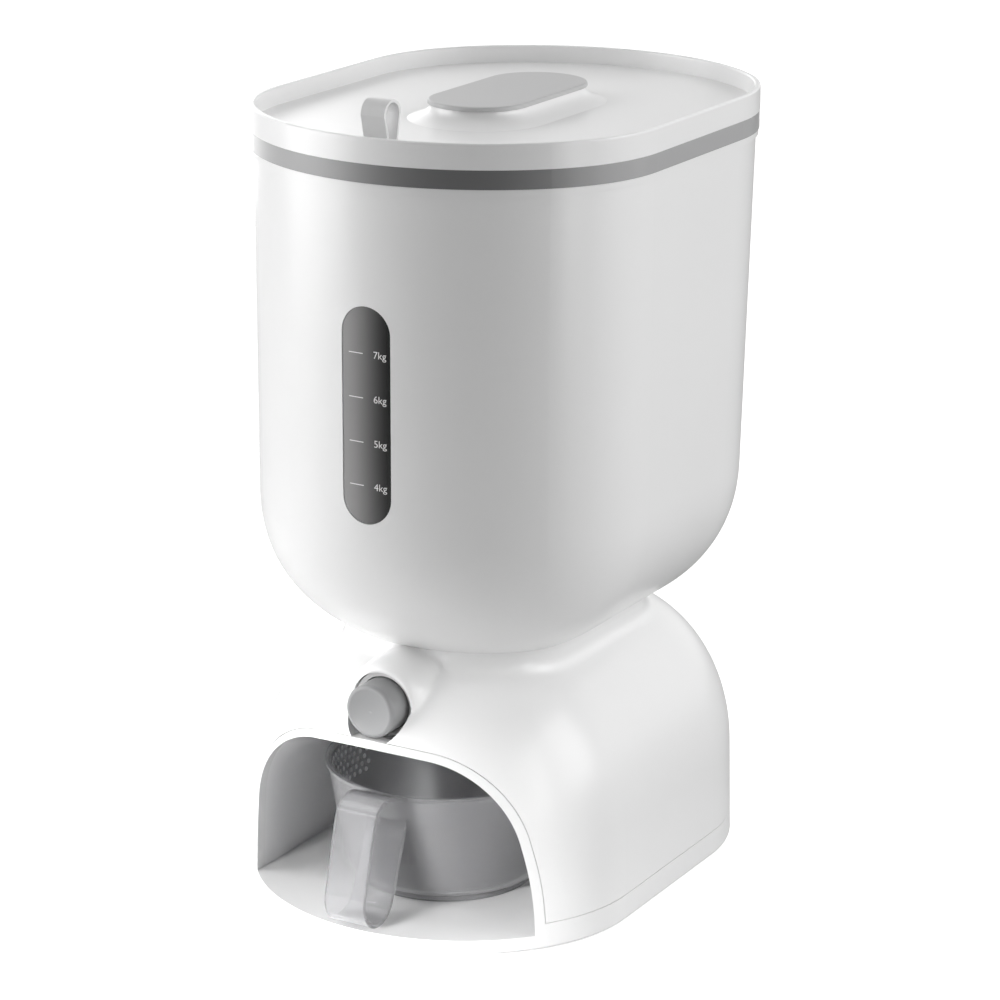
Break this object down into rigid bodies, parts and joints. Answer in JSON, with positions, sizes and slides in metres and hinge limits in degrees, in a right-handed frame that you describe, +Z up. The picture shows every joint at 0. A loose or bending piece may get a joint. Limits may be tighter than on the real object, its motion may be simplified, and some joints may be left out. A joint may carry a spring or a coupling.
{
  "type": "rice dispenser",
  "caption": "Countertop rice dispenser: lidded white bin with a level window on a domed base, push button gate and a clear measuring cup in an arched bay.",
  "frame": {"origin": "on the floor, under the middle of the base, which is the middle of the bounding box's bottom", "axes": "+Z up, -Y towards the front with the button and the cup, +X to the right seen from the front"},
  "size_m": [0.2146, 0.2964, 0.4152],
  "materials": {
    "shell_white": "satin",
    "liner_white": "matte",
    "silicone_gray": "matte",
    "button_gray": "satin",
    "clear_plastic": "clear",
    "window_clear": "smoked",
    "mechanism_white": "matte",
    "steel": "plain",
    "foot_rubber": "matte"
  },
  "bodies": {
    "dispenser": {"base_shell": "shell_white", "base_tray": "shell_white", "arch_frame": "shell_white", "bay_liner": "liner_white", "rubber_feet": "foot_rubber", "base_screws": "steel", "neck_screws": "steel", "guide_sleeve": "mechanism_white", "gate_housing": "mechanism_white", "housing_screws": "steel", "outlet_spout": "mechanism_white", "outlet_seal": "silicone_gray", "bin_shell": "shell_white", "hopper_funnel": "liner_white", "window_strip": "window_clear", "window_seal": "silicone_gray", "return_spring": "steel"},
    "lid": {"lid_cover": "shell_white", "lid_gasket": "silicone_gray", "lid_liner": "liner_white", "grip_pad": "silicone_gray", "grip_screws": "steel", "pull_tab": "silicone_gray"},
    "button": {"button_cap": "button_gray", "plunger": "mechanism_white", "gate_plate": "mechanism_white", "retaining_clip": "steel"},
    "cup": {"measuring_cup": "clear_plastic"}
  },
  "joints": [
    {"name": "lid_lift", "type": "slide", "parent": "dispenser", "child": "lid", "axis": [0, 0, 1], "range_m": [0, 0.15]},
    {"name": "button_push", "type": "slide", "parent": "dispenser", "child": "button", "axis": [0, 1, 0], "range_m": [0, 0.011], "stiffness_N_per_m": 400, "springref_m": -0.006, "deforming": ["return_spring"]},
    {"name": "cup_pull", "type": "slide", "parent": "dispenser", "child": "cup", "axis": [0, -1, 0], "range_m": [0, 0.18]}
  ]
}
